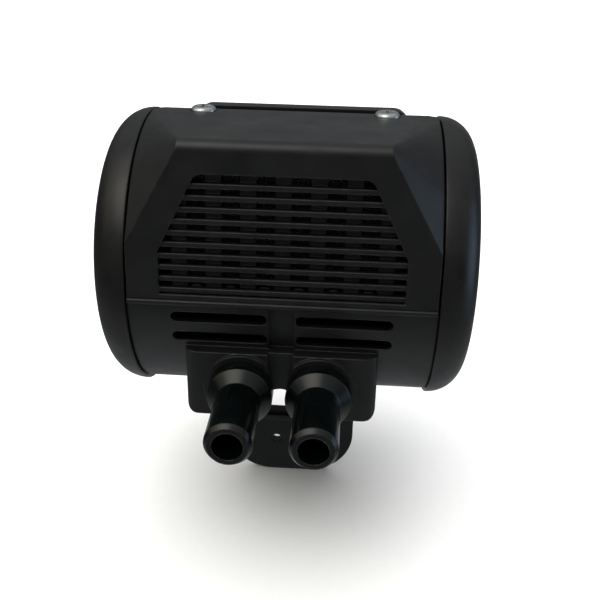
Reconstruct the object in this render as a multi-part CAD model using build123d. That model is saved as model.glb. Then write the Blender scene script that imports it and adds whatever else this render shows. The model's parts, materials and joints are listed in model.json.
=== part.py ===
from build123d import *
import math
import os

# Pneumatic pulsator: a barrel lying along X with a diaphragm chamber at each end, a filter cover over
# the upper front, two pulse-tube nipples low at the front, a flange behind and a hanging lug below.
# Millimetres. The model is drawn about the barrel's axis (+X right, -Y front, +Z up) and is written out
# with its origin on the middle of the flange's flat back face.

# ---- overall sizes ----
BODY_R = 35.6            # barrel radius
WALL = 2.6               # moulded wall
BODY_HALF = 36.55        # barrel end faces at X = +-BODY_HALF
SEAM_GAP = 0.15          # dark gap between a barrel end and its cap
CAP_R = 36.5             # end cap rim radius
CAP_DEPTH = 10.75        # cap's length along X
CAP_CORNER_R = 8.8       # rounding of the cap's outer corner
CAP_RIM_ROUND = 0.25
CAP_DOME_R = 260.0       # shallow dome of the cap's end
CAP_WALL = 3.0
BACK_Y = 37.0            # flange's back face, behind the barrel's axis

# ---- clearances ----
CUTTER = 200.0           # size of a block that cuts everything on one side of a plane
TOUCH = 0.02             # pressed or bolted pieces of one body
RUN = 0.05               # shaft in its bush, per side
LOOSE = 0.1              # spigots and screws in clearance holes, per side
APART = 0.3              # pieces that must not rub

# ---- filter cover ----
SPLIT_Z = 0.9            # cover stands on the body here
COVER_HALF = 36.2        # cover ends a little short of the seams
COVER_BACK_Y = 3.0       # rear edge of the cover's flat top
FRONT_FOOT_Y = -36.4     # front plane at the split
FOLD_Y = -32.3           # front plane meets the top here
FOLD_Z = 37.9
BACK_Z = 36.7            # top falls a little towards its rear edge
FOLD_R = 2.6             # rounding of the fold
CONE_APEX_X = 22.8       # each side of the cover is a cone from the fold's corner
CONE_BASE_X = 36.4       # to a circle round the barrel's axis, drawn as narrow flat faces
CONE_BASE_R = 36.4
CONE_TURN = 54.0         # degrees from the circle's top to the last face
CONE_FACES = 11
LIP_Y = -36.9            # body's lip below the cover
LIP_HEIGHT = 1.3

# ---- grille ----
GRILLE_TOP_Z = 30.5
GRILLE_TOP_HALF = 19.8
GRILLE_KNEE_Z = 12.5
GRILLE_HALF = 28.6
GRILLE_BOTTOM_Z = 2.2
GRILLE_CORNER_R = 2.5
SLAT_COUNT = 10
SLAT_PITCH = 2.73
SLAT_LOW_Z = 3.1
SLAT_HEIGHT = 1.15
SLAT_RECESS = 0.6        # slats lie back from the cover's face
SLAT_DEPTH = 1.7
BAR_DEPTH = 1.0
BAR_WIDTH = 3.7          # upright bars behind the slats
BAR_PITCH = 8.0
BAR_COUNT = 7
PIP_R = 2.0              # round stops for the filter along the sill

# ---- screws ----
COVER_SCREW_X = 23.3
COVER_SCREW_Y = 1.0
COVER_SCREW_SINK = 0.9   # head seat below the cover's top
COVER_SCREW_R = 1.5
COVER_SCREW_HEAD_R = 3.2
COVER_SCREW_HEAD_H = 2.0
COVER_SCREW_LENGTH = 9.0
SMALL_SCREW_R = 1.25
SMALL_SCREW_HEAD_R = 2.2
SMALL_SCREW_HEAD_H = 1.6
LUG_SCREW_R = 2.0
LUG_SCREW_HEAD_R = 3.6
LUG_SCREW_HEAD_H = 2.4

# ---- diaphragm chambers ----
END_DISC_R = 31.4        # barrel's end wall under the cover
END_DISC_DEPTH = 5.5
CUP_R = 26.2             # chamber cup behind the end wall
CUP_BACK_X = 25.6        # inner face of the cup
CUP_FLOOR = 3.0
CHAMBER_R = 23.6
CAP_CHAMBER_R = 25.5
BEAD_R = 27.0            # diaphragm's clamped rim
BEAD_IN_R = 24.2
BEAD_SINK = 0.6          # bead's seat in the barrel end
BEAD_WIDTH = 1.5
SKIN = 0.8               # diaphragm's thin rolling part
HUB_SINK = 2.35          # diaphragm's hub lies this far inside the barrel end at mid-stroke
HUB_WIDTH = 1.5
PLATE_R = 15.0
PLATE_WIDTH = 1.2
REGISTER_R = 32.5        # barrel's ring that centres the cap
REGISTER_LENGTH = 2.6
BAYONET_LUGS = 3
BAYONET_LUG_R = 33.5
BAYONET_LUG_WIDTH = 1.2
BAYONET_LUG_SPAN = 12.0
BAYONET_TURN = 40.0      # degrees from entry to lock

# ---- spindle ----
ROD_R = 3.0
ROD_END_R = 2.5
ROD_TAIL = 1.0           # rod end beyond its nut
NUT_FLATS = 8.0
NUT_WIDTH = 3.0
BUSH_R = 5.5
BUSH_FLANGE_R = 7.5
BUSH_FLANGE = 1.2
SEAL_R = 4.6
SEAL_WIDTH = 1.5

# ---- valve deck and valve gear ----
DECK_TOP_Z = -12.0
DECK = 3.0
GASKET = 0.6
SEAT = 2.4
SEAT_HALF = 19.5
SEAT_FRONT_Y = -10.0
SEAT_BACK_Y = 10.6
SEAT_SCREW_X = 17.2
SEAT_SCREW_YS = (-7.5, 8.0)
PORT_X = 8.0
PORT_WIDTH = 3.0
PORT_FRONT_Y = -7.0
PORT_BACK_Y = 2.0
PILOT_PORT_X = 2.5
PILOT_PORT_R = 0.9
SLIDE_HALF = 10.4
SLIDE_FRONT_Y = -8.5
SLIDE_BACK_Y = 3.5
SLIDE_HEIGHT = 2.8
BLOCK_HALF = 5.0
BLOCK_BOTTOM_Z = -4.6
BLOCK_TOP_Z = 5.0
LEAF = 0.35              # leaf spring between block and slide
DRIVE_PIN_R = 1.5
ROCKER_Z = 14.0          # rocker's pivot above the spindle
ROCKER_FRONT_Y = 7.2
ROCKER_BACK_Y = 9.8
ROCKER_HUB_R = 4.2
ROCKER_WIDTH = 7.0
ROCKER_TIP_R = 1.3
ROCKER_TIP_Z = -6.4
ROCKER_PIN_R = 2.0
BRACKET_Y = 11.0
BRACKET = 3.0
BRACKET_HALF = 9.0
BRACKET_TOP_Z = 19.0
BRACKET_FOOT_Y = 23.0
BRACKET_FOOT = 2.5
BRACKET_SCREW_X = 5.5
BRACKET_SCREW_Y = 18.5
PILOT_HALF = 5.0
PILOT_FRONT_Y = 5.6
PILOT_BACK_Y = 10.3
PILOT_HEIGHT = 3.6

# ---- foam filter ----
FOAM = 5.0
FOAM_HALF = 25.2
FOAM_TOP_Z = 31.0
LEDGE = 1.2              # body's ledge under the foam

# ---- slots, groove and nipple block ----
SLOT_ZS = (-3.9, -9.6)
SLOT_HEIGHT = 2.8
SLOT_IN_X = 3.4
SLOT_OUT_X = 26.3
GROOVE_WIDTH = 6.0
GROOVE_DEPTH = 1.3
BLOCK_Y = -36.7          # nipple block's front face
NIPPLE_BLOCK_HALF = 23.4
NIPPLE_BLOCK_TOP_Z = -12.5
NIPPLE_BLOCK_BOTTOM_Z = -29.9
NIPPLE_BLOCK_EDGE_R = 3.5
NIPPLE_BLOCK_CORNER_R = 2.2
NOTCH_WIDTH = 7.6
NOTCH_TOP_Z = -22.5
HUB_R = 9.2
HUB_HEIGHT = 1.0

# ---- nipples ----
NIPPLE_X = 9.4
NIPPLE_Z = -21.8
NIPPLE_BOSS_R = 7.9
NIPPLE_BOSS = 3.7
NIPPLE_CHAMFER = 2.3
NIPPLE_R = 5.5
NIPPLE_BORE_R = 3.5
NIPPLE_TIP_Y = -61.4
NIPPLE_TIP_CHAMFER = 1.2
SPIGOT = 11.0
O_RING = 0.68            # section radius
O_RING_Y = -33.2
SPIGOT_R = 5.5

# ---- galleries under the deck ----
GALLERY_R = 32.0
GALLERY_IN_X = 4.2
GALLERY_OUT_X = 21.0
GALLERY_BACK_Y = 6.0
VACUUM_FRONT_Y = 9.0
VACUUM_BACK_Y = 27.0
CHANNEL_HALF = 2.2

# ---- rear flange and vacuum inlet ----
FLANGE = 4.0
FLANGE_HALF = 31.0
FLANGE_TOP_Z = 30.8
FLANGE_BOTTOM_Z = -31.0
FLANGE_CORNER_R = 4.5
SADDLE_HALF = 19.5
SADDLE_Y = 22.0
FLANGE_HOLE_R = 2.25
FLANGE_HOLE_X = 25.0
FLANGE_HOLE_Z = 24.5
INLET_Z = -20.5
INLET_R = 7.0
INLET_BOSS_R = 11.0
INLET_SEAL_IN_R = 8.0
INLET_SEAL_OUT_R = 9.6
INLET_SEAL = 1.3

# ---- hanging lug ----
PAD_Z = -36.3
PAD_HALF = 19.5
PAD_FRONT_Y = -3.0
PAD_BACK_Y = 17.0
LUG = 3.2
LUG_HALF = 18.9
LUG_BOTTOM_Z = -73.2
LUG_CORNER_R = 13.5
LUG_FLANGE = 3.0
LUG_WINDOW_HALF = 12.0
LUG_WINDOW_BOTTOM_Z = -52.4
LUG_WINDOW_CORNER_R = 5.0
LUG_RIDGE_Z = -53.9
LUG_RIDGE = 1.2
LUG_HOLE_R = 1.5
LUG_HOLE_X = 4.0
LUG_HOLE_Z = -62.2
LUG_SCREW_X = 12.0
LUG_SCREW_Y = 10.0

# ---- rate adjuster ----
THROTTLE_X = 27.0
THROTTLE_Y = 8.0
THROTTLE_FACE_Z = -37.0
THROTTLE_BOSS_R = 5.4
BUSH_TOP_Z = -28.0
THROTTLE_BUSH_R = 3.5
THROTTLE_FLANGE_R = 4.8
THROTTLE_FLANGE = 1.0
NEEDLE_R = 1.9
NEEDLE_TIP = 2.0
NEEDLE_TIP_Z = -25.0
NEEDLE_TAIL_Z = -40.6
NEEDLE_TRAVEL = 1.0
RATE_HEAD_R = 4.3
RATE_HEAD = 3.8
RATE_SLOT = 0.9


def rod_x(radius, x0, x1, y=0.0, z=0.0):
    """Round bar along X from x0 to x1."""
    return Pos((x0 + x1) / 2, y, z) * Rot(0, 90, 0) * Cylinder(radius, x1 - x0)


def rod_y(radius, y0, y1, x=0.0, z=0.0):
    """Round bar along Y from y0 to y1."""
    return Pos(x, (y0 + y1) / 2, z) * Rot(90, 0, 0) * Cylinder(radius, y1 - y0)


def rod_z(radius, z0, z1, x=0.0, y=0.0):
    """Round bar along Z from z0 to z1."""
    return Pos(x, y, (z0 + z1) / 2) * Cylinder(radius, z1 - z0)


def block(x0, x1, y0, y1, z0, z1):
    """Box between two corners."""
    middle = Pos((x0 + x1) / 2, (y0 + y1) / 2, (z0 + z1) / 2)
    return middle * Box(x1 - x0, y1 - y0, z1 - z0)


def plate_xz(outline, y0, y1):
    """Sketch drawn in X and Z, made solid from y0 to y1."""
    placed = Plane(origin=(0, y1, 0), x_dir=(1, 0, 0), z_dir=(0, -1, 0)) * outline
    return extrude(placed, y1 - y0)


def both_sides(solid):
    """The solid and its mirror image across the middle."""
    return solid + mirror(solid, Plane.YZ)


def pan_screw_z(x, y, seat_z, radius, length, head_r, head_h, up=1):
    """Cross-recessed pan-head screw on a vertical axis, its head above (up=1) or below (up=-1) the seat."""
    head = rod_z(head_r, 0, head_h)
    head = fillet(head.edges().group_by(Axis.Z)[-1], head_h * 0.6)
    recess = block(-head_r * 0.55, head_r * 0.55, -0.3, 0.3, head_h * 0.55, head_h + 1)
    screw = head - recess - Rot(0, 0, 90) * recess + rod_z(radius, -length, 0)
    if up < 0:
        screw = Rot(180, 0, 0) * screw
    return Pos(x, y, seat_z) * screw


# ---- shapes that several pieces share ----
FRONT_SLOPE = (FOLD_Y - FRONT_FOOT_Y) / (FOLD_Z - SPLIT_Z)
TOP_SLOPE = (BACK_Z - FOLD_Z) / (COVER_BACK_Y - FOLD_Y)


def front_y(z, inset=0.0):
    """Y of the cover's front plane at height z, moved inwards by inset."""
    return FRONT_FOOT_Y + (z - SPLIT_Z) * FRONT_SLOPE + inset * math.hypot(1, FRONT_SLOPE)


def top_z(y, inset=0.0):
    """Z of the cover's top plane at depth y, moved inwards by inset."""
    return FOLD_Z + (y - FOLD_Y) * TOP_SLOPE - inset * math.hypot(1, TOP_SLOPE)


def fold_corner(inset):
    """(y, z) where the two planes meet, both moved inwards by inset."""
    y = (front_y(0, inset) + FRONT_SLOPE * top_z(0, inset)) / (1 - FRONT_SLOPE * TOP_SLOPE)
    return y, top_z(y, inset)


def side_cone(inset):
    """Room inside the right-hand cone, whose faces touch its base circle and are moved inwards by inset."""
    room = Box(CUTTER, CUTTER, CUTTER)
    apex = Vector(CONE_APEX_X, FOLD_Y, FOLD_Z)
    for i in range(CONE_FACES):
        turn = math.radians(CONE_TURN * i / (CONE_FACES - 1))
        base = Vector(CONE_BASE_X, -CONE_BASE_R * math.sin(turn), CONE_BASE_R * math.cos(turn))
        tangent = Vector(0, -math.cos(turn), -math.sin(turn))
        normal = (apex - base).cross(tangent).normalized()
        face = Plane(origin=apex - normal * inset, z_dir=normal)
        room -= face.location * Pos(0, 0, CUTTER / 2) * Box(2 * CUTTER, 2 * CUTTER, CUTTER)
    return room


def cover_envelope(inset, half):
    """Outer form of the cover's quarter: the barrel's round with the faceted front housing."""
    low_z = SPLIT_Z - 5
    outline = Polyline(
        (front_y(low_z, inset), low_z),
        fold_corner(inset),
        (COVER_BACK_Y, top_z(COVER_BACK_Y, inset)),
        (COVER_BACK_Y, low_z),
        close=True,
    )
    profile = Plane(origin=(-half, 0, 0), x_dir=(0, 1, 0), z_dir=(1, 0, 0)) * make_face(outline)
    housing = extrude(profile, 2 * half)
    fold = housing.edges().filter_by(Axis.X).sort_by(lambda e: e.center().Z - e.center().Y)[-1]
    housing = fillet(fold, max(FOLD_R - inset, 0.4))
    room = side_cone(inset)
    housing &= room
    housing &= mirror(room, Plane.YZ)
    return housing + rod_x(BODY_R - inset, -half, half)


def cover_quarter(grow=0.0):
    """Region above the split and in front of the cover's rear edge, with the two screw ears."""
    reach = 60.0
    region = block(-reach, reach, -reach, COVER_BACK_Y + grow, SPLIT_Z, reach)
    ear = rod_z(COVER_SCREW_HEAD_R + 1.2 + grow, BODY_R - WALL - 1.0, reach, COVER_SCREW_X, COVER_SCREW_Y)
    return region + both_sides(ear)


def dome_outline(x_rim, x_end, radius, corner_r, dome_r):
    """Half outline of a dished cap: straight rim, rounded corner, shallow dome to the axis."""
    centre_x = x_end - dome_r
    corner_x = centre_x + math.sqrt((dome_r - corner_r) ** 2 - (radius - corner_r) ** 2)
    lean = math.atan2(radius - corner_r, corner_x - centre_x)
    meet = (centre_x + dome_r * math.cos(lean), dome_r * math.sin(lean))
    half_turn = (math.pi / 2 + lean) / 2
    corner_mid = (corner_x + corner_r * math.cos(half_turn), radius - corner_r + corner_r * math.sin(half_turn))
    dome_mid = (centre_x + dome_r * math.cos(lean / 2), dome_r * math.sin(lean / 2))
    edges = [
        Line((x_rim, 0), (x_rim, radius)),
        Line((x_rim, radius), (corner_x, radius)),
        ThreePointArc((corner_x, radius), corner_mid, meet),
        ThreePointArc(meet, dome_mid, (x_end, 0)),
        Line((x_end, 0), (x_rim, 0)),
    ]
    return make_face(edges)


def bayonet_lugs(x0, x1, radius, span, turn):
    """Three lugs standing out of the register ring, turned about the barrel's axis."""
    lugs = Part()
    for i in range(BAYONET_LUGS):
        lug = block(x0, x1, -span / 2, span / 2, REGISTER_R - 2, radius + 5)
        lugs += Rot(turn + 360 * i / BAYONET_LUGS, 0, 0) * lug
    return lugs & rod_x(radius, x0, x1)


GRILLE_BACK = SLAT_RECESS + SLAT_DEPTH - 0.1 + BAR_DEPTH
FOAM_INSET = GRILLE_BACK + 0.2
BEAD_X = BODY_HALF - BEAD_SINK
SEAT_TOP_Z = DECK_TOP_Z + GASKET + SEAT
CUP_FLOOR_X = CUP_BACK_X + CUP_FLOOR
HUB_X = BODY_HALF - HUB_SINK
HUB_IN_X = HUB_X - HUB_WIDTH / 2
HUB_OUT_X = HUB_X + HUB_WIDTH / 2
NUT_X = HUB_OUT_X + TOUCH + PLATE_WIDTH
ROD_HALF = NUT_X + NUT_WIDTH + ROD_TAIL
HUB_FRONT_Y = BLOCK_Y - HUB_HEIGHT
REGISTER_X = BODY_HALF + REGISTER_LENGTH
COVER_SCREW_SEAT_Z = top_z(COVER_SCREW_Y) - COVER_SCREW_SINK


# ---- housing pieces ----
def barrel_shell():
    """Round wall of the barrel without the cover's quarter."""
    shell = rod_x(BODY_R, -BODY_HALF, BODY_HALF) - rod_x(BODY_R - WALL, -BODY_HALF, BODY_HALF)
    return shell - cover_quarter(grow=0.25)


def end_wall():
    """Right end wall with the chamber cup behind it."""
    wall = rod_x(END_DISC_R, BODY_HALF - END_DISC_DEPTH, BODY_HALF)
    ring = rod_x(BODY_R - 0.5, BODY_HALF - END_DISC_DEPTH, BODY_HALF) - cover_quarter(grow=0.25)
    cup = rod_x(CUP_R, CUP_BACK_X, BODY_HALF)
    rib = block(COVER_SCREW_X, BODY_HALF - 1, COVER_SCREW_Y - 2, COVER_SCREW_Y + 2, 24, END_DISC_R - 0.3)
    pillar = rod_z(COVER_SCREW_R + 2.1, 24, FOLD_Z, COVER_SCREW_X, COVER_SCREW_Y)
    pillar &= cover_envelope(WALL + TOUCH, BODY_HALF)
    register = rod_x(REGISTER_R, BODY_HALF - 1, REGISTER_X)
    lugs = bayonet_lugs(REGISTER_X - BAYONET_LUG_WIDTH, REGISTER_X, BAYONET_LUG_R, BAYONET_LUG_SPAN, 0)
    return wall + ring + cup + rib + pillar + register + lugs


def end_wall_cuts():
    """Chamber, bead seat, bush hole and screw holes of the right end."""
    cuts = rod_x(CHAMBER_R, CUP_FLOOR_X, REGISTER_X + 1)
    cuts += rod_x(BEAD_R + LOOSE, BEAD_X, REGISTER_X + 1)
    cuts += rod_x(BUSH_R + TOUCH, CUP_BACK_X - 1, CUP_FLOOR_X + 1)
    screw_bottom = COVER_SCREW_SEAT_Z - COVER_SCREW_LENGTH - 0.3
    cuts += rod_z(COVER_SCREW_R + TOUCH, screw_bottom, FOLD_Z, COVER_SCREW_X, COVER_SCREW_Y)
    return cuts


def lower_filling():
    """Solid below the valve deck, from end wall to end wall."""
    segment = rod_x(BODY_R - 0.5, -CUP_BACK_X - 1, CUP_BACK_X + 1)
    return segment & block(-60, 60, -60, 60, -60, DECK_TOP_Z)


def galleries():
    """Left and right pulse galleries, the vacuum gallery and its channel, under the deck."""
    ceiling = DECK_TOP_Z - DECK
    front = block(GALLERY_IN_X, GALLERY_OUT_X, -BODY_R, GALLERY_BACK_Y, -BODY_R, ceiling)
    vacuum = block(-GALLERY_OUT_X, GALLERY_OUT_X, VACUUM_FRONT_Y, VACUUM_BACK_Y, -BODY_R, ceiling)
    channel = block(-CHANNEL_HALF, CHANNEL_HALF, PORT_FRONT_Y - 1, VACUUM_FRONT_Y + 1, -28, ceiling)
    inside = rod_x(GALLERY_R, -GALLERY_OUT_X, GALLERY_OUT_X)
    return (both_sides(front) + vacuum + channel) & inside


def port_cuts(z0, z1, grow=0.0):
    """The three main ports and the two pilot ports of the valve seat."""
    ports = Part()
    for x in (-PORT_X, 0.0, PORT_X):
        half = PORT_WIDTH / 2 + grow
        ports += block(x - half, x + half, PORT_FRONT_Y - grow, PORT_BACK_Y + grow, z0, z1)
    for x in (-PILOT_PORT_X, PILOT_PORT_X):
        ports += rod_z(PILOT_PORT_R + grow, z0, z1, x, (PILOT_FRONT_Y + PILOT_BACK_Y) / 2)
    return ports


def seat_screw_spots():
    return [(x, y) for x in (-SEAT_SCREW_X, SEAT_SCREW_X) for y in SEAT_SCREW_YS]


def slot(z):
    """One right-hand obround slot through the front wall."""
    half = SLOT_HEIGHT / 2
    bar = block(SLOT_IN_X + half, SLOT_OUT_X - half, -BODY_R - 3, -BODY_R + 8, z - half, z + half)
    inner = rod_y(half, -BODY_R - 3, -BODY_R + 8, SLOT_IN_X + half, z)
    outer = rod_y(half, -BODY_R - 3, -BODY_R + 8, SLOT_OUT_X - half, z)
    return bar + inner + outer


def nipple_block():
    """Block that carries the nipples, with its hubs and the arched notch between them."""
    half = NIPPLE_BLOCK_HALF
    back_y = -12.0
    plan = make_face(Polyline((-half, BLOCK_Y), (half, BLOCK_Y), (half, back_y), (-half, back_y), close=True))
    plan = fillet(plan.vertices().group_by(Axis.Y)[0], NIPPLE_BLOCK_EDGE_R)
    front = make_face(Polyline(
        (-half, NIPPLE_BLOCK_BOTTOM_Z), (half, NIPPLE_BLOCK_BOTTOM_Z),
        (half, NIPPLE_BLOCK_TOP_Z), (-half, NIPPLE_BLOCK_TOP_Z), close=True,
    ))
    front = fillet(front.vertices().group_by(Axis.Y)[0], NIPPLE_BLOCK_CORNER_R)
    upright = extrude(Pos(0, 0, NIPPLE_BLOCK_BOTTOM_Z - 1) * plan, NIPPLE_BLOCK_TOP_Z - NIPPLE_BLOCK_BOTTOM_Z + 2)
    body = upright & plate_xz(front, BLOCK_Y - 1, back_y + 1)
    body += both_sides(rod_y(HUB_R, HUB_FRONT_Y, -26, NIPPLE_X, NIPPLE_Z))
    half = NOTCH_WIDTH / 2
    notch = block(-half, half, -60, -10, NIPPLE_BLOCK_BOTTOM_Z - 5, NOTCH_TOP_Z - half)
    notch += rod_y(half, -60, -10, 0, NOTCH_TOP_Z - half)
    return body - (notch - rod_x(BODY_R - WALL / 2, -20, 20))


def rear_flange():
    """Flat plate behind the barrel, its saddle and the vacuum inlet's boss."""
    height = FLANGE_TOP_Z - FLANGE_BOTTOM_Z
    outline = Pos(0, (FLANGE_TOP_Z + FLANGE_BOTTOM_Z) / 2) * RectangleRounded(
        2 * FLANGE_HALF, height, FLANGE_CORNER_R
    )
    plate = plate_xz(outline, BACK_Y - FLANGE, BACK_Y)
    saddle = block(-SADDLE_HALF, SADDLE_HALF, SADDLE_Y, BACK_Y - 1, -SADDLE_HALF, SADDLE_HALF)
    boss = rod_y(INLET_BOSS_R, SADDLE_Y, BACK_Y - 1, 0, INLET_Z)
    return plate + saddle + boss - rod_x(BODY_R - WALL / 2, -FLANGE_HALF, FLANGE_HALF)


def flange_cuts():
    """Vacuum inlet, its seal groove and the four fixing holes."""
    cuts = rod_y(INLET_R, VACUUM_BACK_Y - 3, BACK_Y + 1, 0, INLET_Z)
    groove = rod_y(INLET_SEAL_OUT_R, BACK_Y - INLET_SEAL - TOUCH, BACK_Y + 1, 0, INLET_Z)
    cuts += groove - rod_y(INLET_SEAL_IN_R, BACK_Y - 5, BACK_Y + 2, 0, INLET_Z)
    for z in (-FLANGE_HOLE_Z, FLANGE_HOLE_Z):
        cuts += both_sides(rod_y(FLANGE_HOLE_R, BACK_Y - FLANGE - 1, BACK_Y + 1, FLANGE_HOLE_X, z))
    return cuts


def lug_pad():
    """Flat pad under the barrel for the hanging lug."""
    return block(-PAD_HALF, PAD_HALF, PAD_FRONT_Y, PAD_BACK_Y, PAD_Z, -BODY_R + 6)


def main_body():
    body = barrel_shell() + both_sides(end_wall()) + lower_filling()
    body += rod_z(THROTTLE_BOSS_R, THROTTLE_FACE_Z, -BODY_R + 6, THROTTLE_X, THROTTLE_Y)
    body += rear_flange() + lug_pad() + nipple_block()
    body += block(-CUP_BACK_X - 1, CUP_BACK_X + 1, -BODY_R + 1.5, -BODY_R + 9, SPLIT_Z - LEDGE, SPLIT_Z)
    lip = block(-COVER_HALF, COVER_HALF, LIP_Y, -BODY_R + 2, SPLIT_Z - LIP_HEIGHT, SPLIT_Z)
    body += fillet(lip.edges().filter_by(Axis.X).group_by(Axis.Y)[0], 0.45)
    body -= galleries()
    body -= port_cuts(DECK_TOP_Z - DECK - 1, DECK_TOP_Z + 1)
    for x, y in seat_screw_spots():
        body -= rod_z(SMALL_SCREW_R + TOUCH, SEAT_TOP_Z - 7.3, DECK_TOP_Z + 1, x, y)
    for x in (-BRACKET_SCREW_X, BRACKET_SCREW_X):
        body -= rod_z(SMALL_SCREW_R + TOUCH, DECK_TOP_Z - DECK - 1, DECK_TOP_Z + 1, x, BRACKET_SCREW_Y)
    for z in SLOT_ZS:
        body -= both_sides(slot(z))
    groove_x = GROOVE_WIDTH / 2
    groove = block(-groove_x, groove_x, -60, 0, NIPPLE_BLOCK_BOTTOM_Z - 1, SPLIT_Z - LIP_HEIGHT)
    body -= groove - block(-60, 60, BLOCK_Y + GROOVE_DEPTH, 0, -60, NIPPLE_BLOCK_TOP_Z) - rod_x(
        BODY_R - GROOVE_DEPTH, -60, 60
    )
    bore = rod_y(SPIGOT_R + LOOSE, HUB_FRONT_Y - 1, -BODY_R + 16, NIPPLE_X, NIPPLE_Z)
    body -= both_sides(bore)
    body -= both_sides(end_wall_cuts())
    body -= flange_cuts()
    for x in (-LUG_SCREW_X, LUG_SCREW_X):
        body -= rod_z(LUG_SCREW_R + TOUCH, PAD_Z - 1, PAD_Z + 6.5, x, LUG_SCREW_Y)
    body -= rod_z(THROTTLE_BUSH_R + TOUCH, THROTTLE_FACE_Z - 1, BUSH_TOP_Z, THROTTLE_X, THROTTLE_Y)
    body -= rod_z(THROTTLE_FLANGE_R, THROTTLE_FACE_Z - 1, THROTTLE_FACE_Z + 0.6, THROTTLE_X, THROTTLE_Y)
    tip_room = NEEDLE_TIP_Z + NEEDLE_TRAVEL + 0.6
    body -= rod_z(NEEDLE_R + APART, BUSH_TOP_Z - 1, tip_room, THROTTLE_X, THROTTLE_Y)
    return body


def grille_zone(grow=0.0):
    """The grille's opening, carried straight through the front wall."""
    outline = Polyline(
        (-GRILLE_TOP_HALF - grow, GRILLE_TOP_Z + grow),
        (-GRILLE_HALF - grow, GRILLE_KNEE_Z),
        (-GRILLE_HALF - grow, GRILLE_BOTTOM_Z - grow),
        (GRILLE_HALF + grow, GRILLE_BOTTOM_Z - grow),
        (GRILLE_HALF + grow, GRILLE_KNEE_Z),
        (GRILLE_TOP_HALF + grow, GRILLE_TOP_Z + grow),
        close=True,
    )
    face = make_face(outline)
    face = fillet(face.vertices().group_by(Axis.Y)[-1], GRILLE_CORNER_R)
    return plate_xz(face, -44, -24)


def grille():
    """Ten level slats with upright bars and small round stops behind them."""
    zone = grille_zone(grow=0.2)
    face_layer = cover_envelope(SLAT_RECESS, GRILLE_HALF + 1) - cover_envelope(SLAT_RECESS + SLAT_DEPTH, 40)
    rear_layer = cover_envelope(GRILLE_BACK - BAR_DEPTH, GRILLE_HALF + 1) - cover_envelope(GRILLE_BACK, 40)
    slats = Part()
    for i in range(SLAT_COUNT):
        z = SLAT_LOW_Z + i * SLAT_PITCH
        slats += block(-40, 40, -44, -24, z - SLAT_HEIGHT / 2, z + SLAT_HEIGHT / 2)
    bars = Part()
    for i in range(BAR_COUNT):
        x = (i - (BAR_COUNT - 1) / 2) * BAR_PITCH
        bars += block(x - BAR_WIDTH / 2, x + BAR_WIDTH / 2, -44, -24, 0, 36)
    for i in range(BAR_COUNT - 1):
        x = (i - (BAR_COUNT - 2) / 2) * BAR_PITCH
        bars += rod_y(PIP_R, -44, -24, x, GRILLE_BOTTOM_Z)
    return (slats & zone & face_layer) + (bars & zone & rear_layer)


def filter_cover():
    shell = (cover_envelope(0, COVER_HALF) & cover_quarter()) - cover_envelope(WALL, 40)
    shell -= grille_zone()
    shell += grille()
    hole = rod_z(COVER_SCREW_R + LOOSE, 20, 60, COVER_SCREW_X, COVER_SCREW_Y)
    hole += rod_z(COVER_SCREW_HEAD_R + 0.25, COVER_SCREW_SEAT_Z, 60, COVER_SCREW_X, COVER_SCREW_Y)
    return shell - both_sides(hole)


def foam_filter():
    """Foam slab lying along the inside of the grille, on the body's ledge."""
    bottom = SPLIT_Z + TOUCH
    outline = Polyline(
        (front_y(bottom, FOAM_INSET), bottom),
        (front_y(FOAM_TOP_Z, FOAM_INSET), FOAM_TOP_Z),
        (front_y(FOAM_TOP_Z, FOAM_INSET + FOAM), FOAM_TOP_Z),
        (front_y(bottom, FOAM_INSET + FOAM), bottom),
        close=True,
    )
    slab = Plane(origin=(-FOAM_HALF, 0, 0), x_dir=(0, 1, 0), z_dir=(1, 0, 0)) * make_face(outline)
    slab = extrude(slab, 2 * FOAM_HALF)
    return slab & cover_envelope(FOAM_INSET, 40)


def right_end_cap():
    """Domed cap that turns on to the register ring and clamps the diaphragm's bead."""
    rim_x = BODY_HALF + SEAM_GAP
    end_x = rim_x + CAP_DEPTH
    cap = revolve(dome_outline(rim_x, end_x, CAP_R, CAP_CORNER_R, CAP_DOME_R), Axis.X)
    cap = fillet(cap.edges().group_by(Axis.X)[0], CAP_RIM_ROUND)
    cap -= revolve(dome_outline(rim_x - 1, end_x - CAP_WALL, CAP_CHAMBER_R, 3.5, CAP_DOME_R), Axis.X)
    cap -= rod_x(BEAD_R + LOOSE, rim_x - 1, BEAD_X + BEAD_WIDTH)
    land = rod_x(BEAD_R - TOUCH, rim_x - 2, REGISTER_X + 2)
    cap -= rod_x(REGISTER_R + LOOSE, rim_x - 1, REGISTER_X + APART) - land
    lock_x = REGISTER_X - BAYONET_LUG_WIDTH - LOOSE
    cap -= rod_x(BAYONET_LUG_R + LOOSE, lock_x, REGISTER_X + APART) - land
    return cap - bayonet_lugs(
        rim_x - 1, REGISTER_X, BAYONET_LUG_R + LOOSE, BAYONET_LUG_SPAN + 1, BAYONET_TURN
    )


def cover_screws():
    screw = pan_screw_z(
        COVER_SCREW_X, COVER_SCREW_Y, COVER_SCREW_SEAT_Z,
        COVER_SCREW_R, COVER_SCREW_LENGTH, COVER_SCREW_HEAD_R, COVER_SCREW_HEAD_H,
    )
    return both_sides(screw)


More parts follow.
